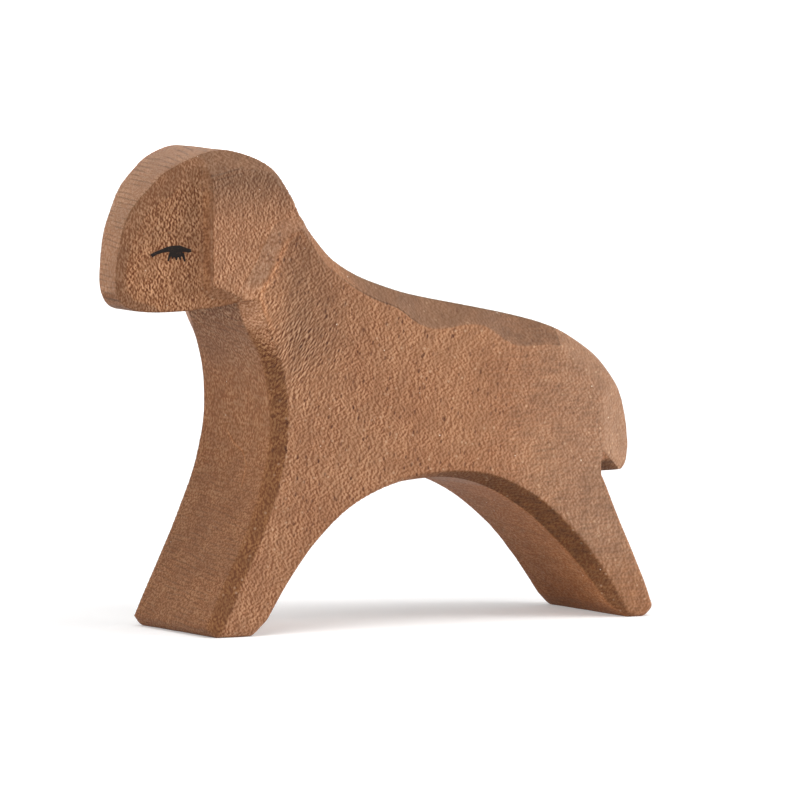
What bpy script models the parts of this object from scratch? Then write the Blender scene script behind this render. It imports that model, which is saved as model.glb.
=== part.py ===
"""Carved wooden lamb: a board sawn to the animal's outline, pared with a knife, with two painted eyes.

Metres, +Z up. The lamb faces -X and stands on Z = 0. Both sides of Y = 0 are alike, and cuts are made at -Y.
"""
import math

import bmesh
import bpy
from mathutils import Vector

MM = 0.001

# Board
BOARD_THICKNESS = 21.0 * MM

# Head
NOSE_REACH = 36.0 * MM
NOSE_ABOVE_CHIN = 5.0 * MM
CROWN_HEIGHT = 60.0 * MM
CROWN_BEHIND_NOSE = 13.5 * MM
CHIN_HEIGHT = 40.2 * MM
CHIN_ROUND = 2.6 * MM
THROAT_ABOVE_CHIN = 1.1 * MM
THROAT_BEHIND_NOSE = 14.3 * MM

# Trunk
CHEST_X = -17.9 * MM
CHEST_HEIGHT = 27.6 * MM
BACK_X = 9.5 * MM
BACK_HEIGHT = 40.0 * MM
CROUP_X = 20.5 * MM
CROUP_HEIGHT = 37.5 * MM
BELLY_X = 5.0 * MM
BELLY_HEIGHT = 18.6 * MM
ARCH_FRONT_FULLNESS = 2.5
ARCH_HIND_FULLNESS = 2.1

# Tail
TAIL_REACH = 34.2 * MM
TAIL_HEIGHT = 21.6 * MM
TAIL_TIP_HEIGHT = 18.4 * MM
TAIL_TIP_INSET = 1.5 * MM
TAIL_OVERHANG = 4.2 * MM

# Feet
TOE_REACH = 27.4 * MM
FRONT_FOOT_LENGTH = 7.3 * MM
HEEL_REACH = 36.1 * MM
HIND_FOOT_LENGTH = 4.8 * MM
FOOT_ROUND = 1.2 * MM
SOLE_ROUND = 1.0 * MM

# Planes that thin the head and the tail
MUZZLE_WIDTH = 5.2 * MM
FACE_TAPER = math.radians(25.0)
EAR_WIDTH = 18.2 * MM
EAR_FRONT_BEHIND_NOSE = 9.9 * MM
EAR_ABOVE_CHIN = 2.8 * MM
EAR_LENGTH_AT_BOTTOM = 4.0 * MM
EAR_CORNER = 0.5 * MM
EAR_STEP_SLOPE = 1.2 * MM
CREASE_RISE = 7.8 * MM
CREASE_RUN = 5.1 * MM
CREASE_SLOPE = 1.4 * MM
CREASE_BELOW_CHIN = 4.0 * MM
TAIL_TAPER = math.radians(31.0)
TAIL_TAPER_HEIGHT = 10.0 * MM
TAIL_TAPER_RISE = 7.0 * MM
TAIL_TAPER_SLOPE = 2.5 * MM

# Pared edges. A flat is the width left between the two sides' cuts, along the outline.
# A bite is how far a cut comes in from the outline on the side.
NOSE_FLAT = 4.4 * MM
NOSE_BITE = 0.95 * MM
CROWN_FLAT = 12.6 * MM
CROWN_BITE = 2.3 * MM
BROW_BITE = 3.0 * MM
POLL_FLAT = 16.8 * MM
POLL_BITE = 0.9 * MM
NAPE_FLAT = 19.2 * MM
NAPE_BITE = 0.9 * MM
BACK_FLAT = 17.4 * MM
BACK_BITE = 2.1 * MM
RUMP_FLAT = 17.0 * MM
RUMP_BITE = 1.9 * MM
RUMP_TOP_FLAT = 15.8 * MM
RUMP_TOP_BITE = 1.0 * MM
RUMP_SIDE_FLAT = 19.0 * MM
RUMP_SIDE_BITE = 3.2 * MM
TAIL_UNDER_FLAT = 16.4 * MM
TAIL_UNDER_BITE = 2.8 * MM
SHIN_FLAT = 19.5 * MM
SHIN_BITE = 1.9 * MM
CHEST_FLAT = 17.4 * MM
CHEST_BITE = 1.6 * MM
NECK_FLAT = 14.0 * MM
NECK_BITE = 1.15 * MM
ARCH_FLAT = 15.6 * MM
ARCH_BITE = 1.8 * MM
ARCH_FOOT_FLAT = 18.2 * MM
LEG_ARRIS = 0.5 * MM
ARRIS = 0.35 * MM
SCALLOP_DEPTH = 1.65 * MM
SCALLOP_PITCH = 12.4 * MM
SCALLOP_START_X = -0.8 * MM
SCALLOP_SKEW = 0.85
SCALLOPS = 2

# Painted eyes
EYE_FRONT_BEHIND_NOSE = 4.3 * MM
EYE_ABOVE_CHIN = 7.05 * MM
EYE_LENGTH = 4.8 * MM
EYE_RISE = 0.5 * MM
EYE_ARCH = 0.42 * MM
LID_THICKNESS = 0.6 * MM
LASHES = 5
LASH_LENGTH = 1.35 * MM
LASH_WIDTH = 0.42 * MM
LASHES_FROM = 0.4
LASHES_TO = 0.84
PAINT_THICKNESS = 0.12 * MM
PAINT_CLEARANCE = 0.03 * MM

CUT_MARGIN = 0.4 * MM
CLEAR = 6.0 * MM
LINE_STEP = 0.8 * MM
FEWEST_STEPS = 4
ARCH_STEPS = 24

HALF = BOARD_THICKNESS / 2
NOSE_X = -NOSE_REACH
CROWN_X = NOSE_X + CROWN_BEHIND_NOSE
THROAT_X = NOSE_X + THROAT_BEHIND_NOSE
NOSE_HEIGHT = CHIN_HEIGHT + NOSE_ABOVE_CHIN
THROAT_HEIGHT = CHIN_HEIGHT + THROAT_ABOVE_CHIN
EAR_BOTTOM_HEIGHT = CHIN_HEIGHT + EAR_ABOVE_CHIN
EYE_HEIGHT = CHIN_HEIGHT + EYE_ABOVE_CHIN
CREASE_FOOT_HEIGHT = CHIN_HEIGHT - CREASE_BELOW_CHIN
TAIL_ROOT_X = TAIL_REACH - TAIL_TIP_INSET - TAIL_OVERHANG
SHARP = (BOARD_THICKNESS - 2 * ARRIS, ARRIS)
LEG_EDGE = (BOARD_THICKNESS - 2 * LEG_ARRIS, LEG_ARRIS)


def clear_scene():
    for obj in list(bpy.data.objects):
        bpy.data.objects.remove(obj, do_unlink=True)


def add_collection(name):
    made = bpy.data.collections.new(name)
    bpy.context.scene.collection.children.link(made)
    return made


def add_material(name, colour, roughness):
    made = bpy.data.materials.new(name)
    made.use_nodes = True
    shader = made.node_tree.nodes["Principled BSDF"]
    shader.inputs["Base Color"].default_value = (*colour, 1.0)
    shader.inputs["Roughness"].default_value = roughness
    shader.inputs["Metallic"].default_value = 0.0
    return made


def mix(start, end, share):
    return start + (end - start) * share


def between(start, end, across, up):
    """The place part of the way from one landmark to the next, along X and along Z."""
    return mix(start[0], end[0], across), mix(start[1], end[1], up)


def smooth_line(stations):
    """Samples (x, z, flat, bite) along the smooth line through a list of such stations."""
    places = [Vector(station[:2]) for station in stations]
    last = len(places) - 1
    tangents = [(places[min(i + 1, last)] - places[max(i - 1, 0)]).normalized() for i in range(last + 1)]
    line = []
    for i in range(last):
        start, end = places[i], places[i + 1]
        length = (end - start).length
        leave, arrive = start + tangents[i] * length / 3, end - tangents[i + 1] * length / 3
        steps = max(FEWEST_STEPS, math.ceil(length / LINE_STEP))
        for step in range(steps):
            t = step / steps
            s = 1 - t
            place = start * s ** 3 + leave * 3 * s * s * t + arrive * 3 * s * t * t + end * t ** 3
            share = t * t * (3 - 2 * t)
            cut = [mix(a, b, share) for a, b in zip(stations[i][2:], stations[i + 1][2:])]
            line.append((place.x, place.y, *cut))
    line.append(stations[last])
    return line


def scalloped(line):
    """The line with the shallow scoops that the knife left along the back."""
    slant = (BOARD_THICKNESS - BACK_FLAT) / BACK_BITE
    made = []
    for x, z, flat, bite in line:
        along = (x - SCALLOP_START_X) / SCALLOP_PITCH
        if z > BELLY_HEIGHT and 0 < along < SCALLOPS:
            depth = SCALLOP_DEPTH * (1 - math.cos(2 * math.pi * (along % 1) ** SCALLOP_SKEW)) / 2
            flat -= slant * depth
            bite += depth
        made.append((x, z, flat, bite))
    return made


def top_line():
    """Throat, jaw, chin, nose, crown, nape, back, croup and tail, down to the tail's tip."""
    throat = (THROAT_X, THROAT_HEIGHT)
    chin = (NOSE_X + CHIN_ROUND, CHIN_HEIGHT)
    nose = (NOSE_X, NOSE_HEIGHT)
    crown = (CROWN_X, CROWN_HEIGHT)
    back = (BACK_X, BACK_HEIGHT)
    croup = (CROUP_X, CROUP_HEIGHT)
    tail = (TAIL_REACH, TAIL_HEIGHT)
    tip = (TAIL_REACH - TAIL_TIP_INSET, TAIL_TIP_HEIGHT)
    jaw = (EAR_WIDTH - 2 * ARRIS, ARRIS)
    stations = [
        (*throat, *jaw),
        (*between(throat, chin, 0.5, 0.93), *jaw),
        (*chin, NOSE_FLAT * 1.4, NOSE_BITE),
        (*between(chin, nose, 0.82, 0.3), NOSE_FLAT, NOSE_BITE),
        (*nose, NOSE_FLAT, NOSE_BITE),
    ]
    for turn in (26, 50, 71):
        angle = math.radians(turn)
        share = math.sin(angle)
        cut = (mix(NOSE_FLAT, CROWN_FLAT, share ** 3), mix(NOSE_BITE, BROW_BITE, share ** 2))
        stations.append((*between(nose, crown, 1 - math.cos(angle), share), *cut))
    stations += [
        (*crown, CROWN_FLAT, CROWN_BITE),
        (*between(crown, back, 0.172, 0.135), POLL_FLAT, POLL_BITE),
        (*between(crown, back, 0.272, 0.43), NAPE_FLAT, NAPE_BITE),
        (*between(crown, back, 0.417, 0.695), mix(NAPE_FLAT, BACK_FLAT, 0.5), mix(NAPE_BITE, BACK_BITE, 0.5)),
        (*between(crown, back, 0.65, 0.87), BACK_FLAT, BACK_BITE),
        (*back, BACK_FLAT, BACK_BITE),
        (*croup, BACK_FLAT, BACK_BITE),
        (*between(croup, tail, 0.53, 0.233), RUMP_FLAT, RUMP_BITE),
        (*between(croup, tail, 0.8, 0.484), RUMP_FLAT, RUMP_BITE),
        (*between(croup, tail, 0.94, 0.73), mix(RUMP_FLAT, SHARP[0], 0.5), mix(RUMP_BITE, ARRIS, 0.5)),
        (*tail, *SHARP),
        (*between(tail, tip, 0.33, 0.75), *SHARP),
        (*tip, *SHARP),
    ]
    return scalloped(smooth_line(stations))


def rump_line(flat, bite):
    """The part of the top line over the rump, for a further knife that rounds the edge there."""
    line = [station[:2] for station in top_line() if station[0] > CROUP_X and station[1] > TAIL_HEIGHT]
    made = []
    for i, place in enumerate(line):
        share = math.sin(math.pi * (i / (len(line) - 1))) ** 0.6
        made.append((*place, mix(SHARP[0], flat, share), mix(SHARP[1], bite, share)))
    return made


def under_tail_line():
    """The tail's underside, from its tip to its root."""
    cut = (TAIL_UNDER_FLAT, TAIL_UNDER_BITE)
    return [(TAIL_REACH - TAIL_TIP_INSET, TAIL_TIP_HEIGHT, *cut), (TAIL_ROOT_X, TAIL_TIP_HEIGHT, *cut)]


def hind_leg_line():
    """The back of the hind leg, from the tail's root to the heel."""
    root = (TAIL_ROOT_X, TAIL_TIP_HEIGHT)
    heel = (HEEL_REACH, FOOT_ROUND)
    return smooth_line([
        (*root, *LEG_EDGE),
        (*between(root, heel, 0.272, 0.266), *LEG_EDGE),
        (*between(root, heel, 0.6, 0.582), *LEG_EDGE),
        (*between(root, heel, 0.855, 0.83), *LEG_EDGE),
        (*heel, *LEG_EDGE),
    ]) + [(HEEL_REACH - FOOT_ROUND, 0.0, *LEG_EDGE)]


def arch_line():
    """The opening between the legs, from the hind foot over the belly to the front foot and its toe."""
    hind_x = HEEL_REACH - HIND_FOOT_LENGTH
    front_x = FRONT_FOOT_LENGTH - TOE_REACH
    line = []
    for step in range(2 * ARCH_STEPS + 1):
        share = 1 - step / ARCH_STEPS
        fullness = ARCH_HIND_FULLNESS if share > 0 else ARCH_FRONT_FULLNESS
        reach = hind_x - BELLY_X if share > 0 else BELLY_X - front_x
        height = BELLY_HEIGHT * (1 - abs(share) ** fullness)
        if height < SOLE_ROUND:
            continue
        hind = min(max((share + 0.3) / 0.6, 0.0), 1.0)
        bite = mix(ARRIS, ARCH_BITE, hind * (0.6 + 0.4 * math.sin(math.pi * max(share, 0.0) ** 1.5)))
        foot = max(share - 0.65, 0.0) / 0.35
        flat = mix(SHARP[0], mix(ARCH_FLAT, ARCH_FOOT_FLAT, foot), hind)
        line.append((BELLY_X + reach * share, height, flat, bite))
    start = (hind_x + SOLE_ROUND, 0.0, *LEG_EDGE)
    end = (front_x - SOLE_ROUND, 0.0, *LEG_EDGE)
    sole_end = (FOOT_ROUND - TOE_REACH, 0.0, *LEG_EDGE)
    toe = (-TOE_REACH, FOOT_ROUND, *LEG_EDGE)
    return [start, *line, end, sole_end, toe]


def chest_line():
    """The front of the leg, the chest and the neck, from the toe to the throat."""
    toe = (-TOE_REACH, FOOT_ROUND)
    waist = (CHEST_X, CHEST_HEIGHT)
    throat = (THROAT_X, THROAT_HEIGHT)
    shin, chest, neck = (SHIN_FLAT, SHIN_BITE), (CHEST_FLAT, CHEST_BITE), (NECK_FLAT, NECK_BITE)
    breast = [mix(a, b, 0.3) for a, b in zip(chest, neck)]
    return smooth_line([
        (*toe, *shin),
        (*between(toe, waist, 0.247, 0.183), *shin),
        (*between(toe, waist, 0.619, 0.458), *shin),
        (*between(toe, waist, 0.918, 0.756), *[mix(a, b, 0.5) for a, b in zip(shin, chest)]),
        (*waist, *chest),
        (*between(waist, throat, 0.22, 0.44), *breast),
        (*between(waist, throat, 0.707, 0.78), *neck),
        (*throat, *neck),
    ])


def flat_curve(name, outline, half_depth, slope=0.0):
    """A filled outline given half its depth, with rims that slope outwards from both faces."""
    curve = bpy.data.curves.new(name, "CURVE")
    curve.dimensions = "2D"
    curve.fill_mode = "BOTH"
    curve.extrude = half_depth
    curve.bevel_depth = slope
    curve.bevel_resolution = 0
    spline = curve.splines.new("POLY")
    spline.points.add(len(outline) - 1)
    for point, place in zip(spline.points, outline):
        point.co = (*place, 0.0, 1.0)
    spline.use_cyclic_u = True
    return curve


def as_mesh(curve, target):
    """A mesh object made from a curve, with its caps welded on."""
    source = bpy.data.objects.new(curve.name, curve)
    target.objects.link(source)
    bpy.context.view_layer.update()
    graph = bpy.context.evaluated_depsgraph_get()
    mesh = bpy.data.meshes.new_from_object(source.evaluated_get(graph))
    bpy.data.objects.remove(source, do_unlink=True)
    work = bmesh.new()
    work.from_mesh(mesh)
    bmesh.ops.remove_doubles(work, verts=work.verts, dist=1e-7)
    bmesh.ops.recalc_face_normals(work, faces=work.faces)
    work.to_mesh(mesh)
    work.free()
    made = bpy.data.objects.new(curve.name, mesh)
    target.objects.link(made)
    return made


def as_helper(made):
    made.hide_render = True
    made.display_type = "WIRE"
    return made


def side_at(x, z):
    """Half the thickness at a place, before its edges are pared."""
    ear_x = NOSE_X + EAR_FRONT_BEHIND_NOSE
    rear_x = ear_x + EAR_LENGTH_AT_BOTTOM
    before_crease = (x - rear_x) * CREASE_RISE < max(z - EAR_BOTTOM_HEIGHT, 0.0) * CREASE_RUN
    if z < CREASE_FOOT_HEIGHT or not (before_crease or z > EAR_BOTTOM_HEIGHT + CREASE_RISE * 1.15):
        return HALF
    face = MUZZLE_WIDTH / 2 + (x - NOSE_X) * math.tan(FACE_TAPER)
    past_face = min(max((x - ear_x) / EAR_STEP_SLOPE + 1, 0.0), 1.0)
    return mix(face, EAR_WIDTH / 2, past_face)


def knife(name, line, target, lead=0.0):
    """A cutter lofted along an outline: it pares the edge from the flat's rim to the bite on the side."""
    last = len(line) - 1
    places = [Vector(station[:2]) for station in line]
    sections = []
    for i, (x, z, flat, bite) in enumerate(line):
        along = (places[min(i + 1, last)] - places[max(i - 1, 0)]).normalized()
        inward = Vector((along.y, -along.x))
        inner = places[i] + inward * bite
        rise = max(side_at(inner.x, inner.y) - flat / 2, ARRIS)
        over = Vector((bite, rise)).normalized() * CUT_MARGIN
        corners = (
            (-over.x, flat / 2 - over.y),
            (bite + over.x, flat / 2 + rise + over.y),
            (-CUT_MARGIN, flat / 2 + rise + over.y),
        )
        origin = places[i] - along * lead if i == 0 else places[i]
        section = []
        for across, depth in corners:
            place = origin + inward * across
            section.append((place.x, -depth, place.y))
        sections.append(section)
    mesh = bpy.data.meshes.new(name)
    work = bmesh.new()
    rings = [[work.verts.new(corner) for corner in section] for section in sections]
    for ring, following in zip(rings, rings[1:]):
        for j in range(3):
            k = (j + 1) % 3
            work.faces.new((ring[j], ring[k], following[k], following[j]))
    work.faces.new(rings[0])
    work.faces.new(rings[-1])
    bmesh.ops.triangulate(work, faces=work.faces)
    bmesh.ops.recalc_face_normals(work, faces=work.faces)
    work.to_mesh(mesh)
    work.free()
    made = bpy.data.objects.new(name, mesh)
    target.objects.link(made)
    return as_helper(made)


def slab(name, outline, origin, turn, slope, target):
    """A cutter whose inner face lies in the upright plane through origin, turned about Z."""
    made = as_helper(as_mesh(flat_curve(name, outline, CLEAR, slope), target))
    made.rotation_euler = (math.radians(90), 0.0, turn)
    outward = Vector((math.sin(turn), -math.cos(turn), 0.0))
    made.location = Vector(origin) + outward * (CLEAR + slope)
    return made


def ear_cutter(target):
    """Lowers the head's side to the ear's surface, up to the crease behind the ear."""
    rear_x = NOSE_X + EAR_FRONT_BEHIND_NOSE + EAR_LENGTH_AT_BOTTOM
    top = CROWN_HEIGHT + CLEAR
    start = (rear_x, EAR_BOTTOM_HEIGHT)
    end = (start[0] + CREASE_RUN, EAR_BOTTOM_HEIGHT + CREASE_RISE)
    crease = smooth_line([
        start, between(start, end, 0.41, 0.38), between(start, end, 0.65, 0.68), end,
        between(start, end, 1.4, 1.1), between(start, end, 2.1, 1.2),
    ])
    outline = [(start[0], CREASE_FOOT_HEIGHT), *crease, (crease[-1][0], top)]
    outline += [(NOSE_X - CLEAR, top), (NOSE_X - CLEAR, CREASE_FOOT_HEIGHT)]
    return slab("ear_cutter", outline, (0.0, -EAR_WIDTH / 2, 0.0), 0.0, CREASE_SLOPE, target)


def face_cutter(target):
    """Tapers the face from the ear's front edge down to the muzzle, and the jaw under the ear."""
    drop = EAR_WIDTH / 2 - MUZZLE_WIDTH / 2
    ear_front = EAR_FRONT_BEHIND_NOSE * math.cos(FACE_TAPER) + drop * math.sin(FACE_TAPER) - EAR_STEP_SLOPE
    rear = drop / math.sin(FACE_TAPER)
    top = CROWN_HEIGHT + CLEAR
    low = CREASE_FOOT_HEIGHT
    step_z = EAR_BOTTOM_HEIGHT - EAR_STEP_SLOPE
    corner = EAR_CORNER + EAR_STEP_SLOPE
    outline = [(-CLEAR, top), (ear_front, top)]
    for turn in range(180, 271, 18):
        angle = math.radians(turn)
        outline.append((ear_front + corner * (1 + math.cos(angle)), step_z + corner * (1 + math.sin(angle))))
    outline += [(rear, step_z), (rear, low), (-CLEAR, low)]
    return slab("face_cutter", outline, (NOSE_X, -MUZZLE_WIDTH / 2, 0.0), -FACE_TAPER, EAR_STEP_SLOPE, target)


def tail_cutter(target):
    """Thins the tail from its root out to its rear edge."""
    low = TAIL_TIP_HEIGHT - CUT_MARGIN
    high = low + TAIL_TAPER_HEIGHT
    far = TAIL_REACH - TAIL_ROOT_X + CLEAR
    outline = [(-CUT_MARGIN, low), (far, low), (far, high + TAIL_TAPER_RISE), (-CUT_MARGIN, high)]
    return slab("tail_cutter", outline, (TAIL_ROOT_X, -HALF, 0.0), TAIL_TAPER, TAIL_TAPER_SLOPE, target)


def carved_body(finish, target, helpers):
    """The sawn board, pared at its near side and mirrored to the far side."""
    top = top_line()
    under_tail = under_tail_line()
    legs = hind_leg_line() + arch_line()
    chest = chest_line()
    outline = []
    for line in (top, under_tail, legs, chest):
        outline += [station[:2] for station in line[:-1]]
    body = as_mesh(flat_curve("carved_body", outline, HALF), target)
    body.rotation_euler.x = math.radians(90)
    cutters = [
        ear_cutter(helpers),
        face_cutter(helpers),
        tail_cutter(helpers),
        knife("top_knife", top, helpers),
        knife("rump_top_knife", rump_line(RUMP_TOP_FLAT, RUMP_TOP_BITE), helpers),
        knife("rump_side_knife", rump_line(RUMP_SIDE_FLAT, RUMP_SIDE_BITE), helpers),
        knife("under_tail_knife", under_tail, helpers, lead=CLEAR),
        knife("leg_knife", legs, helpers),
        knife("chest_knife", chest, helpers, lead=CLEAR),
    ]
    for cutter in cutters:
        cut = body.modifiers.new(cutter.name, "BOOLEAN")
        cut.operation = "DIFFERENCE"
        cut.solver = "MANIFOLD"
        cut.object = cutter
    mirror = body.modifiers.new("far_side", "MIRROR")
    mirror.use_axis = (False, False, True)
    mirror.use_bisect_axis = (False, False, True)
    mirror.merge_threshold = 1e-6
    body.data.materials.append(finish)
    return body


def lid_at(t):
    """The lid's middle line and half its thickness, from its front at 0 to its rear at 1."""
    along = EYE_FRONT_BEHIND_NOSE + EYE_LENGTH * t
    up = EYE_HEIGHT + EYE_RISE * t + EYE_ARCH * math.sin(math.pi * t)
    thick = LID_THICKNESS * math.sin(math.pi * (0.08 + 0.87 * t)) ** 0.7
    return along, up, thick / 2


def eye_outline():
    """A closed lid with lashes below it, along the face plane and up."""
    steps = 16
    top = []
    for step in range(steps + 1):
        along, up, half = lid_at(step / steps)
        top.append((along, up + half))
    bottom = []
    for t in (1.0, 0.94):
        along, up, half = lid_at(t)
        bottom.append((along, up - half))
    for lash in range(LASHES):
        t = mix(LASHES_TO, LASHES_FROM, lash / (LASHES - 1))
        along, up, half = lid_at(t)
        lean = LASH_LENGTH * 0.2 * (t - (LASHES_FROM + LASHES_TO) / 2)
        root = up - half * 0.9
        bottom.append((along + LASH_WIDTH / 2, root))
        bottom.append((along + lean + LASH_WIDTH / 5, up - LASH_LENGTH))
        bottom.append((along + lean - LASH_WIDTH / 5, up - LASH_LENGTH))
        bottom.append((along - LASH_WIDTH / 2, root))
    for t in (0.32, 0.22, 0.1, 0.0):
        along, up, half = lid_at(t)
        bottom.append((along, up - half))
    return top + bottom


def painted_eye(name, side, paint, target):
    """A thin film of paint on one side of the face: side is -1 for the left, at -Y, and 1 for the right."""
    outline = [(-side * along, up) for along, up in eye_outline()]
    film = as_mesh(flat_curve(name, outline, PAINT_THICKNESS / 2), target)
    turn = side * FACE_TAPER
    film.rotation_euler = (math.radians(90), 0.0, turn if side < 0 else math.pi + turn)
    outward = Vector((-math.sin(FACE_TAPER), side * math.cos(FACE_TAPER), 0.0))
    film.location = Vector((NOSE_X, side * MUZZLE_WIDTH / 2, 0.0))
    film.location += outward * (PAINT_CLEARANCE + PAINT_THICKNESS / 2)
    film.data.materials.append(paint)
    return film


def build():
    clear_scene()
    lamb = add_collection("carved_lamb")
    helpers = add_collection("cutters")
    wood = add_material("stained_wood", (0.33, 0.16, 0.085), 0.62)
    paint = add_material("black_paint", (0.012, 0.011, 0.01), 0.5)
    carved_body(wood, lamb, helpers)
    painted_eye("left_painted_eye", -1, paint, lamb)
    painted_eye("right_painted_eye", 1, paint, lamb)


build()
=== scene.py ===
"""Looks of the carved wooden lamb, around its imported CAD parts.

Metres, +Z up. The lamb faces -X, and its left side is -Y, the side towards the camera.
"""

import math

import bmesh
import bpy
import numpy as np
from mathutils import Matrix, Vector, noise
from mathutils.bvhtree import BVHTree
from mathutils.kdtree import KDTree


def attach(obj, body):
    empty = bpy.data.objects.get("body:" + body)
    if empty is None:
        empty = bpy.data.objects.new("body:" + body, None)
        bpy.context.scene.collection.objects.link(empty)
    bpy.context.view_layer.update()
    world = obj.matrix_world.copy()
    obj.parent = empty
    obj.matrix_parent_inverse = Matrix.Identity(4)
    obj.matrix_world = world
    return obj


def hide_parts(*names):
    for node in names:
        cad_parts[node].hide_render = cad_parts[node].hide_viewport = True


MM = 0.001

# Camera
CAMERA_TURN = math.radians(29.0)
CAMERA_RISE = math.radians(4.3)
CAMERA_DISTANCE = 1.5
CAMERA_TARGET = Vector((5.25, 0.0, 27.65)) * MM
FRAME_SIZE = 100.0 * MM

# Studio
ROOM_LEVEL = 0.4
FLOOR_GLOW = 0.3
FLOOR_FORE = 1.3
FLOOR_REAR = 1.0
FLOOR_HALF_WIDTH = 1.5
BACKDROP_HEIGHT = 1.2
SHEET_COLOUR = (0.82, 0.82, 0.82, 1.0)

# Lamps: the direction they shine from, spread in degrees, and level
LAMPS = {
    "top": ((-0.15, -0.35, 0.92), 40.0, 0.45),
    "key": ((0.72, -0.62, 0.31), 30.0, 0.55),
    "fill": ((-0.9, -0.3, 0.3), 40.0, 0.25),
}

# Sizes of the part that its looks follow
FACE_TAPER = math.radians(25.0)
TAIL_TAPER = math.radians(31.0)
NOSE = Vector((-36.0, 0.0, 0.0)) * MM
MUZZLE_HALF = 2.6 * MM

# Carved surface
VOXEL = 0.325 * MM
BORDER_STEP = 0.06 * MM
SOFTEN_PASSES = 1
WORN_PASSES = 3
TAIL_PASSES = 8
NORMAL_PASSES = 3
STAIN_AND_SHADING_PASSES = 3
TAIL_STAIN_AND_SHADING_PASSES = 15
GRAIN_PASSES = 6
BORDER_PASSES = 2
WAVE_HEIGHT = 0.06 * MM
WAVE_LENGTH = 5.0 * MM
SEED_SHIFT = Vector((3.1, 7.7, 1.9))
NAPE_SWELLS = [(53.0, 1.7, 0.264), (50.3, 1.1, -0.168)]  # height, spread and push to the rear, in mm

# Fibres of each region: lean from upright in degrees, size across and along, distance between neighbours
FIBRES = {
    "front": (4, 0.13 * MM, 0.4 * MM, 0.23 * MM),
    "shoulder": (-33, 0.14 * MM, 0.8 * MM, 0.23 * MM),
    "rear": (-12, 0.17 * MM, 0.34 * MM, 0.32 * MM),
}

# Raised fibres on each kind of cut, where 1 is as many as on the board's flat sides
FUZZ = {"side": 1.0, "cheek": 1.0, "ear": 1.1, "rim": 0.45, "knife": 0.36, "tail": 0.35, "rump": 0.3}

# Sizes in the wood
PATCH_LEAN = math.radians(-25)
PATCH_CELL = (1.3 * MM, 2.6 * MM)
PORE_CELL = (0.75 * MM, 1.45 * MM)
PORE_PATCH_CELL = (1.6 * MM, 3.5 * MM)
DRIFT_SIZE = 11 * MM
EDGE_WOBBLE_SIZE = 0.5 * MM
FLECK_SPACING = 1.2 * MM
SPECK_SPACING = 1.9 * MM
SPECK_PATCH_SIZE = 4 * MM
RING_SPACING = 0.62 * MM
RING_NORMAL = Vector((0.3, -0.1, 0.95))
RING_BREAKS = (0.4 / MM, 0.25 / MM, 1.6 / MM)
STREAKS = (0.5 / MM, 1.2 / MM, 3.6 / MM)
RELIEF = 0.03 * MM

# Colours of the stain, with its painted sheen and painted shade, and factors for its fibres and pores
STAIN_DARKER = (0.312, 0.129, 0.054, 1.0)
STAIN_LIGHTER = (0.356, 0.158, 0.07, 1.0)
# a paler grey-brown: the stain of some cuts, and painted sheen on the faces that look up, the tail and the rump
GREY_STAIN_AND_SHEEN = (0.34, 0.205, 0.128, 1.0)
# a deeper brown: the stain that the chamfers soak up, and painted shade on faces that look down or lie in shadow
DEEP_STAIN_AND_SHADE = (0.25, 0.085, 0.019, 1.0)
FLECK = (0.6, 0.38, 0.23, 1.0)
SPECK = (0.7, 0.6, 0.47, 1.0)
# Factors for the raised fibres: their own darker and lighter colour, and the painted shade and painted highlight of
# their relief
DARK_FIBRE_AND_SHADE = (0.38, 0.23, 0.13, 1.0)
LIGHT_FIBRE_AND_HIGHLIGHT = (1.85, 2.42, 3.1, 1.0)
PORE = (0.34, 0.22, 0.16, 1.0)

# Tool marks: places in mm, where None is every place on that axis, half width in mm, and change of shade
SCRATCHES = [
    ([(None, 2.3, 24.6), (None, 0.3, 23.2), (None, -2.3, 22.4), (None, -4.1, 20.9), (None, -4.4, 18.2)], 0.09, 0.32),
    ([(-25.9, None, 56.95), (-21.7, None, 57.95)], 0.06, -0.15),
    ([(-25.5, None, 56.45), (-21.9, None, 57.2)], 0.06, -0.13),
    ([(-25.8, None, 55.5), (-23.4, None, 56.1)], 0.05, -0.1),
]

# Brush strokes of the left eye: (along the face from the nose's plane, height, half width) in mm
LID = [(4.25, 47.05, 0.24), (4.37, 47.17, 0.22), (4.82, 47.42, 0.2), (5.57, 47.69, 0.23), (6.2, 47.88, 0.32),
       (6.95, 47.98, 0.37), (7.7, 48.0, 0.38), (8.33, 47.84, 0.3), (8.83, 47.69, 0.23), (9.14, 47.75, 0.2)]
LID_UNDERSIDE = [(6.5, 47.4, 0.34), (7.27, 47.25, 0.42), (8.08, 47.35, 0.34)]
LASHES = [
    [(6.62, 47.45, 0.18), (6.45, 46.95, 0.16), (6.3, 46.43, 0.1)],
    [(6.95, 47.3, 0.17), (6.87, 46.95, 0.14), (6.82, 46.71, 0.09)],
    [(7.32, 47.3, 0.18), (7.32, 46.85, 0.15), (7.3, 46.53, 0.1)],
    [(7.7, 47.3, 0.17), (7.75, 46.9, 0.14), (7.8, 46.57, 0.09)],
    [(8.07, 47.4, 0.18), (8.22, 46.9, 0.16), (8.37, 46.37, 0.1)],
]
PAINT_RISE = 0.28  # height of a stroke above the face, as a share of its half width
PAINT_VOXEL = 0.045 * MM
BRUSH_SIZE = 0.35 * MM
THICK_PAINT = (0.014, 0.0095, 0.008, 1.0)
THIN_PAINT = (0.045, 0.028, 0.02, 1.0)


def add_object(name, data):
    made = bpy.data.objects.new(name, data)
    bpy.context.scene.collection.objects.link(made)
    return made


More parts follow.
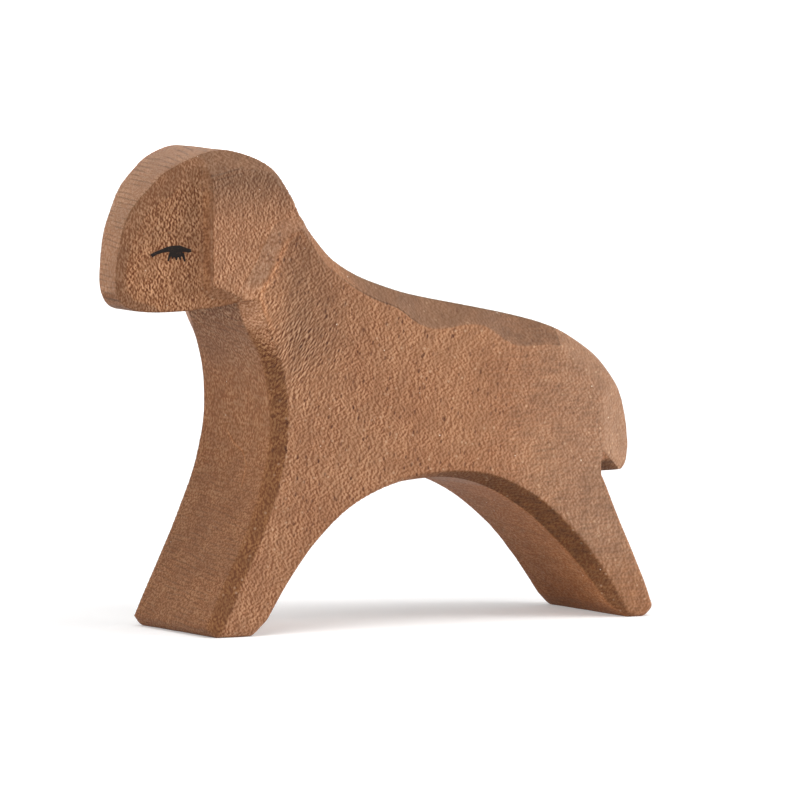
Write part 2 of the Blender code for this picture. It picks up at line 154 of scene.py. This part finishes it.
class Shader:
    """A material's node tree, built by short calls that return output sockets."""

    def __init__(self, name):
        self.material = bpy.data.materials.new(name)
        self.material.use_nodes = True
        self.tree = self.material.node_tree
        self.surface = self.tree.nodes["Principled BSDF"]

    def node(self, kind, inputs=None, **settings):
        made = self.tree.nodes.new(kind)
        for key, value in settings.items():
            setattr(made, key, value)
        for key, value in (inputs or {}).items():
            self.feed(made.inputs[key], value)
        return made

    def feed(self, socket, value):
        if isinstance(value, bpy.types.NodeSocket):
            self.tree.links.new(value, socket)
        else:
            socket.default_value = value

    def math(self, operation, *values, clamp=False):
        made = self.node("ShaderNodeMath", operation=operation, use_clamp=clamp)
        for i, value in enumerate(values):
            self.feed(made.inputs[i], value)
        return made.outputs[0]

    def times(self, total, *factors):
        for factor in factors:
            total = self.math("MULTIPLY", total, factor)
        return total

    def less(self, share, amount):
        """One, less an amount in proportion to a share."""
        return self.math("SUBTRACT", 1.0, self.math("MULTIPLY", share, amount))

    def vector(self, operation, *values):
        made = self.node("ShaderNodeVectorMath", operation=operation)
        for i, value in enumerate(values):
            self.feed(made.inputs[i], value)
        return made.outputs["Value" if operation in ("DOT_PRODUCT", "DISTANCE") else "Vector"]

    def attribute(self, name):
        return self.node("ShaderNodeAttribute", attribute_name=name).outputs["Fac"]

    def parts(self, name):
        found = self.node("ShaderNodeAttribute", attribute_name=name).outputs["Vector"]
        return list(self.node("ShaderNodeSeparateXYZ", inputs={"Vector": found}).outputs)

    def ramp(self, value, low, high, to_low=0.0, to_high=1.0):
        made = self.node("ShaderNodeMapRange", interpolation_type="SMOOTHSTEP")
        for key, number in zip(("Value", "From Min", "From Max", "To Min", "To Max"),
                               (value, low, high, to_low, to_high)):
            self.feed(made.inputs[key], number)
        return made.outputs["Result"]

    def mix(self, share, start, end, blend="MIX"):
        made = self.node("ShaderNodeMix", data_type="RGBA", blend_type=blend)
        self.feed(made.inputs["Factor"], share)
        colours = [socket for socket in made.inputs if socket.type == "RGBA"]
        self.feed(colours[0], start)
        self.feed(colours[1], end)
        return next(socket for socket in made.outputs if socket.type == "RGBA")

    def tint(self, share, colour, factors):
        """A colour, multiplied by factors in proportion to a share."""
        return self.mix(share, colour, self.mix(1.0, colour, factors, "MULTIPLY"))

    def blend_value(self, share, start, end):
        made = self.node("ShaderNodeMix", data_type="FLOAT")
        self.feed(made.inputs[0], share)
        self.feed(made.inputs[2], start)
        self.feed(made.inputs[3], end)
        return made.outputs[0]

    def grain_space(self, place, lean, across, along, deep=0.4):
        """Places counted in cells that are long up the grain, which leans from upright by an angle."""
        turned = self.node("ShaderNodeVectorRotate", rotation_type="Y_AXIS", inputs={"Vector": place, "Angle": lean})
        return self.vector("MULTIPLY", turned.outputs[0], (1 / across, deep / across, 1 / along))

    def noise(self, place, scale, detail=2.0, roughness=0.5):
        made = self.node("ShaderNodeTexNoise", inputs={
            "Vector": place, "Scale": scale, "Detail": detail, "Roughness": roughness,
        })
        return made.outputs["Fac"]

    def scratch(self, place, points, half_width, change):
        """A tool mark along a line of places in mm: how much lighter or darker the wood is there."""
        seen = Vector([0.0 if number is None else 1.0 for number in points[0]])
        place = self.vector("MULTIPLY", place, seen)
        points = [[number or 0.0 for number in point] for point in points]
        marks = []
        for start, end in zip(points, points[1:]):
            start, run = Vector(start) * MM, (Vector(end) - Vector(start)) * MM
            offset = self.vector("SUBTRACT", place, start)
            share = self.math("ADD", self.vector("DOT_PRODUCT", offset, run / run.length_squared), 0.0, clamp=True)
            nearest = self.node("ShaderNodeVectorMath", operation="SCALE", inputs={"Vector": run, "Scale": share})
            distance = self.vector("DISTANCE", offset, nearest.outputs[0])
            marks.append(self.ramp(distance, half_width * MM, half_width * 2 * MM, change, 0.0))
        strongest = marks[0]
        for mark in marks[1:]:
            strongest = self.math("MINIMUM" if change < 0 else "MAXIMUM", strongest, mark)
        return strongest

    def dots(self, place, scale):
        """How far each place is from the nearest of a scatter of points."""
        made = self.node("ShaderNodeTexVoronoi", feature="F1", inputs={"Vector": place, "Scale": scale})
        return made.outputs["Distance"]


def grain(s, place, region):
    """Raised fibres of a region, dark below zero and light above, and the dark pores among them. The dark and light
    are the fibres' own colour together with painted shade and painted highlight of their relief.
    """
    lean, across, along, apart = FIBRES[region]
    space = s.grain_space(place, math.radians(lean), across, along)
    beside = s.vector("ADD", space, (apart / across, 0.0, 0.0))
    fibre = s.math("SUBTRACT", s.noise(space, 1.0, 0.8), s.noise(beside, 1.0, 0.8))
    space = s.grain_space(place, math.radians(lean), *PORE_CELL, 0.05)
    return fibre, s.ramp(s.dots(space, 1.0), 0.13, 0.25, 1.0, 0.0)


def rings(s, place, rim, front, drift, patch):
    """Thin dark growth rings on the rim: strong on the forehead, weaker on the chest, faint along the back."""
    x_place, _, z_place = s.node("ShaderNodeSeparateXYZ", inputs={"Vector": place}).outputs
    layer = s.vector("DOT_PRODUCT", place, RING_NORMAL / RING_SPACING)
    layer = s.math("ADD", layer, s.times(drift, 3.0))
    layer = s.math("ADD", layer, s.times(patch, 0.3))
    line = s.ramp(s.math("SINE", s.times(layer, math.tau)), 0.1, 0.95, 0.08, -0.28)
    along = s.ramp(x_place, -23 * MM, -15 * MM, 1.0, 0.25)
    chest = s.times(front, s.ramp(z_place, 34 * MM, 42 * MM, 0.45, 0.0))
    broken = s.noise(s.vector("MULTIPLY", place, RING_BREAKS), 1.0, 1.0)
    return s.times(line, rim, along, s.less(chest, 1.0), s.ramp(broken, 0.38, 0.6))


def wood_material():
    """Brown-stained wood: short raised fibres and dark pores up the grain, and for each cut its stain with painted
    shade, painted light and painted sheen.
    """
    s = Shader("stained_wood")
    place = s.node("ShaderNodeTexCoord").outputs["Object"]
    x_place, _, z_place = s.node("ShaderNodeSeparateXYZ", inputs={"Vector": place}).outputs
    fuzz, front, shoulder = s.parts("grain")
    line, ridge, softness = s.parts("border_shade_and_highlight")
    rim = s.attribute("rim")
    wobble = s.math("SUBTRACT", s.noise(place, 1 / EDGE_WOBBLE_SIZE), 0.5)
    edge = s.math("ADD", s.attribute("cut_edge"), s.times(wobble, 0.16))
    inside = s.ramp(s.math("DIVIDE", edge, softness), -1.0, 1.0)
    tone, grey, deep = [
        s.blend_value(inside, flat, cut) for flat, cut in zip(s.parts("flat_stain_and_shading"), s.parts("cut_stain_and_shading"))
    ]
    rear = s.math("SUBTRACT", s.math("SUBTRACT", 1.0, front), shoulder, clamp=True)
    drift = s.noise(place, 1 / DRIFT_SIZE, 2.0)
    patch = s.noise(s.grain_space(place, PATCH_LEAN, *PATCH_CELL), 1.0, 2.0)

    on_front, on_shoulder, on_rear = [grain(s, place, region) for region in ("front", "shoulder", "rear")]
    fibre, pore = [
        s.blend_value(shoulder, s.blend_value(front, c, a), b) for a, b, c in zip(on_front, on_shoulder, on_rear)
    ]
    coarse = s.noise(s.grain_space(place, PATCH_LEAN, *PORE_PATCH_CELL), 1.0, 2.0)
    pore = s.times(pore, s.ramp(coarse, 0.3, 0.55, 0.35, 1.0), s.less(front, 0.85), s.less(rim, 0.8),
                   s.ramp(z_place, 8 * MM, 22 * MM, 0.3, 1.0))

    colour = s.mix(s.ramp(drift, 0.35, 0.65), STAIN_DARKER, STAIN_LIGHTER)
    colour = s.mix(grey, colour, GREY_STAIN_AND_SHEEN)
    colour = s.mix(deep, colour, DEEP_STAIN_AND_SHADE)
    # raised fibres: their own darker and lighter colour, with painted shade on one flank and painted highlight on
    # the other
    strength = s.times(fuzz, s.less(rear, 0.25), s.less(shoulder, -0.2), s.ramp(patch, 0.25, 0.75, 0.65, 1.05))
    dark = s.math("MULTIPLY", s.ramp(fibre, 0.03, -0.2), strength, clamp=True)
    light = s.times(strength, s.less(rear, 0.35))
    light = s.math("MULTIPLY", s.ramp(fibre, -0.03, 0.22), light, clamp=True)
    colour = s.tint(dark, colour, DARK_FIBRE_AND_SHADE)
    colour = s.tint(light, colour, LIGHT_FIBRE_AND_HIGHLIGHT)
    flecked = s.times(s.math("MAXIMUM", rear, s.times(front, 0.4)), s.less(rim, 0.5))
    fleck = s.times(s.ramp(s.dots(place, 1 / FLECK_SPACING), 0.07, 0.19, 0.55, 0.0), flecked)
    colour = s.mix(fleck, colour, FLECK)
    colour = s.tint(s.times(pore, fuzz), colour, PORE)

    # painted shade in the groove along a knife cut's border, and painted highlight on the crest beside the ear's
    # crease
    groove = s.times(s.ramp(s.math("ABSOLUTE", edge), 0.04, 0.17, 1.0, 0.0), line)
    crest = s.times(s.ramp(edge, -1.1, -0.5), s.ramp(edge, -0.1, -0.5), ridge)
    shade = s.times(tone, s.ramp(patch, 0.3, 0.7, 0.92, 1.08), s.less(groove, 1.0), s.less(crest, -1.0))
    shade = s.math("ADD", shade, rings(s, place, rim, front, drift, patch))
    streak = s.math("SUBTRACT", s.noise(s.vector("MULTIPLY", place, STREAKS), 1.0, 1.0), 0.5)
    streak = s.times(streak, fuzz, rear, s.ramp(x_place, 6 * MM, 20 * MM, 0.0, 0.8), 1.5)
    shade = s.math("ADD", shade, streak)
    for points, half_width, change in SCRATCHES:
        mark = s.scratch(place, points, half_width, change)
        through_body = points[0][0] is None  # a mark on the chest, which isn't wanted on the faces behind it
        shade = s.math("ADD", shade, s.times(mark, front) if through_body else mark)
    shade = s.node("ShaderNodeCombineColor", inputs={"Red": shade, "Green": shade, "Blue": shade}).outputs[0]
    colour = s.mix(1.0, colour, shade, "MULTIPLY")
    speck = s.times(s.ramp(s.dots(place, 1 / SPECK_SPACING), 0.035, 0.055, 1.0, 0.0),
                    s.ramp(s.noise(place, 1 / SPECK_PATCH_SIZE, 1.0), 0.52, 0.56))
    s.feed(s.surface.inputs["Base Color"], s.mix(speck, colour, SPECK))
    s.feed(s.surface.inputs["Roughness"], s.ramp(fibre, -0.2, 0.2, 0.78, 0.62))
    s.surface.inputs["Specular IOR Level"].default_value = 0.35

    height = s.math("SUBTRACT", s.times(fibre, fuzz), s.times(pore, 0.4))
    bump = s.node("ShaderNodeBump", inputs={"Height": height, "Distance": RELIEF, "Strength": 1.0})
    s.feed(s.surface.inputs["Normal"], bump.outputs[0])
    return s.material


def paint_material():
    """Matt black paint, a little thin where the brush ran dry."""
    s = Shader("black_paint")
    place = s.node("ShaderNodeTexCoord").outputs["Object"]
    wear = s.noise(place, 1 / BRUSH_SIZE, 3.0, 0.6)
    s.feed(s.surface.inputs["Base Color"], s.mix(s.ramp(wear, 0.5, 0.75), THICK_PAINT, THIN_PAINT))
    s.feed(s.surface.inputs["Roughness"], s.ramp(wear, 0.3, 0.7, 0.6, 0.8))
    s.surface.inputs["Specular IOR Level"].default_value = 0.2
    bump = s.node("ShaderNodeBump", inputs={"Height": wear, "Distance": RELIEF, "Strength": 0.5})
    s.feed(s.surface.inputs["Normal"], bump.outputs[0])
    return s.material


def smooth_values(values, edges, passes):
    """Averages each vertex's value with its neighbours'."""
    count = np.bincount(edges.ravel(), minlength=len(values)).astype(float)
    count = count.reshape((-1,) + (1,) * (values.ndim - 1))
    for _ in range(passes):
        total = np.zeros_like(values)
        np.add.at(total, edges[:, 0], values[edges[:, 1]])
        np.add.at(total, edges[:, 1], values[edges[:, 0]])
        values = 0.5 * values + 0.5 * total / count
    return values


def voxel_mesh(name, data, size):
    """A closed mesh of small even faces around a mesh or a curve."""
    rough = add_object(name, data)
    remesh = rough.modifiers.new("even", "REMESH")
    remesh.mode = "VOXEL"
    remesh.voxel_size = size
    graph = bpy.context.evaluated_depsgraph_get()
    mesh = bpy.data.meshes.new_from_object(rough.evaluated_get(graph))
    bpy.data.objects.remove(rough, do_unlink=True)
    return mesh


def ease(value, low, high):
    """0 up to the low value, 1 from the high one on, and smooth between."""
    t = np.clip((value - low) / (high - low), 0, 1)
    return t * t * (3 - 2 * t)


def faces_along(normal, turn):
    """Whether a face's normal is that of the upright plane turned by an angle from the flat side."""
    across = Vector((math.sin(turn), math.copysign(math.cos(turn), normal.y), 0.0))
    return normal.dot(across) > 0.995


def kind_of(face):
    """Which cut made a face of the part: rim, side, ear, cheek, tail, rump or the knife."""
    normal = face.normal
    x, y, z = face.calc_center_median() / MM
    if abs(normal.y) < 0.1:
        return "rim"
    if abs(normal.y) > 0.997:
        return "ear" if abs(y) < 9.8 else "side"  # the ear lies lower than the sides
    if x < -20 and z > 36 and faces_along(normal, -FACE_TAPER):
        return "cheek"
    if x > 26 and faces_along(normal, TAIL_TAPER):
        return "tail"
    if x > 22.5 and z > 20:
        return "rump"
    return "knife"


# The next three give the stain at a place in mm, with the painted shade, light and sheen there, as the function
# after them does
def rim_stain_and_shading(x, z, normal):
    if x > -16 and z > 30 or normal.z > 0.3 and z > 46:  # back, and top of the head, greyed by painted sheen
        return 1.03, 0.5, 0.0
    if z > 40:  # forehead and nose, lighter by painted light and sheen, and the chin, darker by painted shade
        return (1.09, 0.4, 0.0) if normal.z > -0.3 else (0.72, 0.0, 0.4)
    if x < -14:  # chest and the front of the leg: darker stain, with painted shade at the throat under the head
        throat = ease(z, 30, 36)
        return 0.8 + 0.19 * ease(z, 10, 28) - 0.17 * throat, 0.15 * throat, 0.5 - 0.1 * throat
    # slopes of the arch, and the soles, in the deeper brown of painted shade; the rest is its roof, the tail and the
    # back of the leg
    return (1.17, 0.0, 0.6) if normal.z < -0.25 and z < 17 else (0.98, 0.3, 0.1)


def side_stain_and_shading(x, z):
    shoulder = 1 - ease(x, -8, 4)
    neck = ease(z, 30, 37) * (1 - ease(x, -14, -4)) * ease(x, -18, -15.5)
    foot = 1 - ease(z, 2, 12)
    thigh = ease(x, 18, 26) * (1 - ease(z, 14, 22))
    # painted shade darkens the neck under the jaw; the other terms make some regions darker or lighter
    tone = 0.94 - 0.05 * shoulder - 0.24 * neck - 0.03 * foot - 0.09 * thigh + 0.02 * ease(x, 8, 18)
    return tone, 0.45 * ease(x, 8, 30) * (1 - foot), 0.0


def knife_stain_and_shading(x, z, normal):
    if x < -26 and z > 41:  # crown, step before the ear in painted shade, and brow
        if z >= 58:
            return 0.74, 0.1, 0.1
        return (0.84, 0.0, 0.3) if x > -29.2 and z < 55 else (0.71, 0.05, 0.1)
    if x < -22.2 and 39 < z < 43.4:  # jaw, in painted shade under the ear
        return 0.81, 0.1, 0.1
    if z > 53:  # top of the ear
        return 0.8 - 0.2 * ease(z, 53, 56), 0.25, 0.0
    if x < -13 and z > 38:  # crease behind the ear, and the facet at its foot lit by painted light
        light = 1 - ease(z, 42, 44)
        return 0.89 + 0.39 * light, 0.37 - 0.17 * light - 0.2 * ease(z, 49, 53), 0.0
    if -22 < x < 24 and z > 30 and normal.x * 0.3 + normal.z > 0.05:  # scallops along the back
        start = ease(x, -10, -4)
        return 0.92 - 0.3 * start, 0.1 + 0.25 * start, 0.05
    if x < -12 and normal.x < -0.2:  # edge of chest and leg: dark stain, lifted by painted light at its top by the neck
        top = ease(z + 1.2 * (x + 21), 37.5, 39.5)
        return 0.63 + 0.07 * ease(z, 8, 16) + 0.35 * top, 0.0, 0.8 - 0.8 * top
    if -15 < x < 33 and z < 20 and normal.z < 0:  # underside of the tail, and edge of the arch, darkened by painted shade
        if x > 26 and z > 16:
            return 0.44, 0.2, 0.6
        share = ease(x, -2, 9) * (0.65 + 0.35 * ease(z, 2, 9))
        return 1 - 0.46 * share, 0.0, share
    return 1.0, 0.1, 0.0


def stain_and_shading_at(place, normal, kind):
    """Stain at a place on a kind of cut, with painted shade, light and sheen: how light, how grey and how deep a
    brown.
    """
    x, _, z = place / MM
    if kind == "rim":
        return rim_stain_and_shading(x, z, normal)
    if kind == "side":
        return side_stain_and_shading(x, z)
    if kind == "knife":
        return knife_stain_and_shading(x, z, normal)
    if kind == "cheek":
        # the cheek darkens by painted shade towards the step before the ear
        return 0.93 - 0.08 * ease(x, -30.5, -27.5) - 0.1 * ease(z, 45, 50), 0.0, 0.12
    if kind == "ear":
        return 0.97 - 0.42 * ease(z, 50, 57), 0.1, 0.0
    # the tail lighter, partly its paler stain and partly painted light; tail and rump greyed by painted sheen
    return (1.18, 0.6, 0.0) if kind == "tail" else (0.96, 0.5, 0.0)


def border_shade_and_highlight(places, beyond_rim):
    """Border of a knife cut: how dark its line of painted shade is, how light the painted highlight on the ridge
    beside it, and how soft the change, in mm.
    """
    x, y, z = (places / MM).T
    scallops = (z > 38) * ease(x, -12, -4)
    crease = ease(x, -25, -23) * (1 - ease(x, -15, -13)) * ease(z, 37, 39)
    brow = (1 - ease(x, -27, -25.5)) * ease(z, 40, 42)
    chest = (1 - ease(x, -14, -12)) * (1 - ease(z, 36, 38))
    ear_step = (1 - ease(np.abs(x + 27.8), 0.4, 0.9)) * ease(z, 41, 43) * (1 - ease(z, 56, 59))
    foot = ease(x, 14, 26) * (z < 16)
    crease_side = crease * (np.abs(y) > 9.9)
    # painted shade along the borders, strongest under the scallops and lifted at the crease and the ear's step
    line = 0.12 * (1 - foot) + 0.35 * scallops - 0.12 * np.maximum(crease_side, ear_step)
    line *= 1 - chest * beyond_rim
    # painted highlight on the ridge behind the ear's crease
    ridge = 0.33 * crease_side
    softness = 0.07 + 0.35 * crease + 0.4 * ear_step + 0.25 * foot
    softness += 0.45 * brow * (1 - beyond_rim) + 0.5 * chest * beyond_rim
    return np.stack([line, ridge, softness], axis=1)


def cad_surface(source):
    """The part's faces to search, what cut each and their normals, and the borders of the knife's cuts.

    A border is places to search, and for each the face on its other side.
    """
    cad = bmesh.new()
    cad.from_mesh(source.data)
    bmesh.ops.remove_doubles(cad, verts=cad.verts, dist=1e-7)
    bmesh.ops.dissolve_degenerate(cad, edges=cad.edges, dist=1e-7)
    cad.faces.ensure_lookup_table()
    kinds = [kind_of(face) for face in cad.faces]
    border = []
    for edge in cad.edges:
        beside = list(edge.link_faces)
        if len(beside) != 2:
            continue
        pair = [kinds[face.index] for face in beside]
        if pair[0] != pair[1] and "knife" in pair:
            other = beside[0] if pair[1] == "knife" else beside[1]
            start, end = (vertex.co for vertex in edge.verts)
            steps = max(1, math.ceil(edge.calc_length() / BORDER_STEP))
            for step in range(steps + 1):
                border.append((start.lerp(end, step / steps), other.index))
    border_tree = KDTree(len(border))
    for i, (place, _) in enumerate(border):
        border_tree.insert(place, i)
    border_tree.balance()
    face_normals = [face.normal.copy() for face in cad.faces]
    tree = BVHTree.FromBMesh(cad)
    cad.free()
    return tree, kinds, face_normals, border_tree, [index for _, index in border]


def worn_places(places, normals, edges):
    """The surface with softened edges, worn soles and tail, a fuller nape and the unevenness of handwork.

    Also how much of the tail's smoothing each vertex gets.
    """
    out = smooth_values(normals, edges, NORMAL_PASSES)
    out /= np.linalg.norm(out, axis=1)[:, None]
    places = smooth_values(places, edges, SOFTEN_PASSES)
    sole = (1 - ease(places[:, 2], 1.5 * MM, 4 * MM))[:, None]
    places += sole * (smooth_values(places, edges, WORN_PASSES) - places)
    tail = (ease(places[:, 0], 23 * MM, 26 * MM) * ease(places[:, 2], 17 * MM, 20 * MM))[:, None]
    places += tail * (smooth_values(places, edges, TAIL_PASSES) - places)
    x, _, z = (places / MM).T
    nape = ease(x, -21, -18) * (1 - ease(x, -12, -10))
    for height, spread, push in NAPE_SWELLS:
        places[:, 0] += nape * push * np.exp(-((z - height) / spread) ** 2) * MM
    for i, place in enumerate(places):
        lift = noise.noise(Vector(place) / WAVE_LENGTH + SEED_SHIFT) * WAVE_HEIGHT
        places[i] += out[i] * lift
    return places, tail


def grain_shares(places, cut_by, rim):
    """How many raised fibres each vertex has, and how much it belongs to the front and to the shoulder."""
    x, _, z = (places / MM).T
    ear = cut_by == "ear"
    facet = ease(x, -25, -23) * (1 - ease(x, -16, -14)) * ease(z, 38, 39) * (1 - ease(z, 42.5, 44))
    cheek_end = ease(x, -29, -28.6) * (1 - ease(x, -26.2, -25.8)) * ease(z, 42, 43) * (1 - ease(z, 56, 58))
    fuzz = np.array([FUZZ[kind] for kind in cut_by])
    fuzz = np.maximum(fuzz, 0.8 * facet)
    fuzz = np.maximum(fuzz, 0.85 * cheek_end * (1 - rim))
    knife = (cut_by == "knife") * (fuzz < FUZZ["knife"] + 0.01)
    back = (x > -12) * (z > 30)
    chest_edge = (x < -12) * (z < 38)
    fuzz += knife * (0.2 * (1 - back) + 0.34 * chest_edge)
    fuzz *= 1 - 0.6 * rim * ease(z, 40, 44)  # fewer on the rim of the head
    fuzz *= 1 - 0.5 * ease(x, -8, 28) * (fuzz > 0.9)  # fewer on the sides towards the rump
    chest = rim * (x < -12) * (z < 46)
    front = np.maximum(1 - ease(x, -27, -26), chest)
    front = np.maximum(front, 0.6 * ear)
    shoulder = np.exp(-((x + 15) ** 2 + (z - 36) ** 2) / 60) * ease(x, -22.5, -21.5) * (1 - chest) * (1 - ear)
    return np.stack([fuzz, front, shoulder], axis=1)


def carved_body(wood):
    """The body with its knife facets softened, the slight unevenness of handwork, and for each cut its stain with
    painted shade, light and sheen.
    """
    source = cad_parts["carved_body"]
    mesh = voxel_mesh("lamb_body_rough", source.data.copy(), VOXEL)
    tree, kinds, face_normals, border_tree, beyond = cad_surface(source)

    count = len(mesh.vertices)
    places = np.empty(count * 3)
    mesh.vertices.foreach_get("co", places)
    places = places.reshape(-1, 3)
    edges = np.empty(len(mesh.edges) * 2, dtype=np.int64)
    mesh.edges.foreach_get("vertices", edges)
    edges = edges.reshape(-1, 2)
    normals, flat_stain_and_shading, cut_stain_and_shading = (np.empty_like(places) for _ in range(3))
    cut_edge, beyond_rim = np.empty(count), np.empty(count)
    cut_by = []
    for i in range(count):
        place, normal, index, _ = tree.find_nearest(Vector(places[i]))
        _, border, distance = border_tree.find(place)
        knife = kinds[index] == "knife"
        other = beyond[border] if knife else index
        places[i] = place
        normals[i] = normal
        cut_by.append(kinds[index])
        beyond_rim[i] = kinds[beyond[border]] == "rim"
        cut_edge[i] = min(distance / MM, 2.0) * (1 if knife else -1)
        flat_stain_and_shading[i] = stain_and_shading_at(place, face_normals[other], kinds[other])
        cut_stain_and_shading[i] = stain_and_shading_at(place, normal, "knife")
    places, tail = worn_places(places, normals, edges)
    mesh.vertices.foreach_set("co", places.ravel())
    mesh.update()

    rim = 1 - ease(np.abs(normals[:, 1]), 0.05, 0.15)
    flat_stain_and_shading = smooth_values(flat_stain_and_shading, edges, STAIN_AND_SHADING_PASSES)
    flat_stain_and_shading += tail * (smooth_values(flat_stain_and_shading, edges, TAIL_STAIN_AND_SHADING_PASSES) - flat_stain_and_shading)
    vectors = {
        "flat_stain_and_shading": flat_stain_and_shading,
        "cut_stain_and_shading": smooth_values(cut_stain_and_shading, edges, STAIN_AND_SHADING_PASSES),
        "grain": smooth_values(grain_shares(places, np.array(cut_by), rim), edges, GRAIN_PASSES),
        "border_shade_and_highlight": smooth_values(border_shade_and_highlight(places, beyond_rim), edges, BORDER_PASSES),
    }
    for name, values in vectors.items():
        mesh.attributes.new(name, "FLOAT_VECTOR", "POINT").data.foreach_set("vector", values.ravel())
    for name, values in {"cut_edge": cut_edge, "rim": smooth_values(rim, edges, BORDER_PASSES)}.items():
        mesh.attributes.new(name, "FLOAT", "POINT").data.foreach_set("value", values)
    mesh.shade_smooth()
    mesh.materials.clear()
    mesh.materials.append(wood)
    body = add_object("lamb_body", mesh)
    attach(body, "root")
    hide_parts("carved_body")


def painted_eye(name, node, side, paint):
    """Brush strokes on one side of the face: side is -1 for the left, at -Y, and 1 for the right."""
    curve = bpy.data.curves.new(name, "CURVE")
    curve.dimensions = "3D"
    curve.bevel_depth = MM
    curve.bevel_resolution = 3
    curve.use_fill_caps = True
    for stroke in [LID, LID_UNDERSIDE, *LASHES]:
        spline = curve.splines.new("POLY")
        spline.points.add(len(stroke) - 1)
        for point, (along, up, half_width) in zip(spline.points, stroke):
            point.co = (along * MM, up * MM, 0.0, 1.0)
            point.radius = half_width
    mesh = voxel_mesh(name + "_strokes", curve, PAINT_VOXEL)
    out = Vector((-math.sin(FACE_TAPER), side * math.cos(FACE_TAPER), 0.0))
    back = Vector((math.cos(FACE_TAPER), side * math.sin(FACE_TAPER), 0.0))
    muzzle = NOSE + Vector((0.0, side * MUZZLE_HALF, 0.0))
    for vertex in mesh.vertices:
        along, up, rise = vertex.co
        vertex.co = muzzle + back * along + Vector((0.0, 0.0, up)) + out * (rise * PAINT_RISE)
    if side > 0:
        mesh.flip_normals()
    mesh.shade_smooth()
    mesh.materials.append(paint)
    eye = add_object(name, mesh)
    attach(eye, "root")
    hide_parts(node)


def pale_sheet(name, corners, glow):
    """A pale sheet that glows white where the camera sees it, directly or in or through another thing."""
    mesh = bpy.data.meshes.new(name)
    mesh.from_pydata(corners, [], [(0, 1, 2, 3)])
    s = Shader(name)
    s.surface.inputs["Base Color"].default_value = SHEET_COLOUR
    s.surface.inputs["Roughness"].default_value = 0.9
    s.surface.inputs["Specular IOR Level"].default_value = 0.0
    s.surface.inputs["Emission Color"].default_value = (1.0, 1.0, 1.0, 1.0)
    rays = s.node("ShaderNodeLightPath").outputs
    seen = s.math("MAXIMUM", rays["Is Glossy Ray"], rays["Is Transmission Ray"])
    seen = s.math("MAXIMUM", rays["Is Camera Ray"], seen)
    s.feed(s.surface.inputs["Emission Strength"], s.math("MULTIPLY", seen, glow))
    mesh.materials.append(s.material)
    add_object(name, mesh)


def stage():
    """A pale floor, and a pale backdrop square to the camera."""
    away = Vector((math.sin(CAMERA_TURN), math.cos(CAMERA_TURN), 0.0))
    right = Vector((away.y, -away.x, 0.0))
    high = Vector((0.0, 0.0, 1.0))
    fore, rear, wide, tall = away * -FLOOR_FORE, away * FLOOR_REAR, right * FLOOR_HALF_WIDTH, high * BACKDROP_HEIGHT
    pale_sheet("studio_floor", [fore - wide, fore + wide, rear + wide, rear - wide], FLOOR_GLOW)
    pale_sheet("studio_backdrop", [rear - wide, rear + wide, rear + wide + tall, rear - wide + tall], 1.0)


def add_lamp(name, direction, spread, level):
    """A far soft lamp. At level 1 a surface square to it renders as its own colour."""
    lamp = bpy.data.lights.new(name, "SUN")
    lamp.angle = math.radians(spread)
    lamp.energy = level * math.pi
    made = add_object(name, lamp)
    made.rotation_euler = (-Vector(direction)).to_track_quat("-Z", "Y").to_euler()


def lights():
    world = bpy.data.worlds.new("soft_room")
    bpy.context.scene.world = world
    world.use_nodes = True
    background = world.node_tree.nodes["Background"]
    background.inputs["Color"].default_value = (1.0, 1.0, 1.0, 1.0)
    background.inputs["Strength"].default_value = ROOM_LEVEL
    for name, values in LAMPS.items():
        add_lamp(name, *values)


def add_camera():
    lens = bpy.data.cameras.new("camera")
    lens.sensor_fit = "HORIZONTAL"
    lens.angle = 2 * math.atan(FRAME_SIZE / 2 / CAMERA_DISTANCE)
    lens.clip_end = 20.0
    back = Vector((-math.sin(CAMERA_TURN) * math.cos(CAMERA_RISE),
                   -math.cos(CAMERA_TURN) * math.cos(CAMERA_RISE), math.sin(CAMERA_RISE)))
    made = add_object("camera", lens)
    made.location = CAMERA_TARGET + back * CAMERA_DISTANCE
    made.rotation_euler = (-back).to_track_quat("-Z", "Y").to_euler()
    bpy.context.scene.camera = made


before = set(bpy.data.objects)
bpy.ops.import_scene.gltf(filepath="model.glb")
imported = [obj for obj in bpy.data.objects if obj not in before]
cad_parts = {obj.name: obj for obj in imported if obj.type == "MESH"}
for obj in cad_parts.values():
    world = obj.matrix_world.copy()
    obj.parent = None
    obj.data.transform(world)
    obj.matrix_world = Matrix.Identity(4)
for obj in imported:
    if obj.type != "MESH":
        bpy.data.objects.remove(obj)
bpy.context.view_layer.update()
bpy.context.scene.view_settings.view_transform = "Standard"
add_camera()
lights()
stage()
carved_body(wood_material())
black = paint_material()
painted_eye("left_eye_paint", "left_painted_eye", -1, black)
painted_eye("right_eye_paint", "right_painted_eye", 1, black)
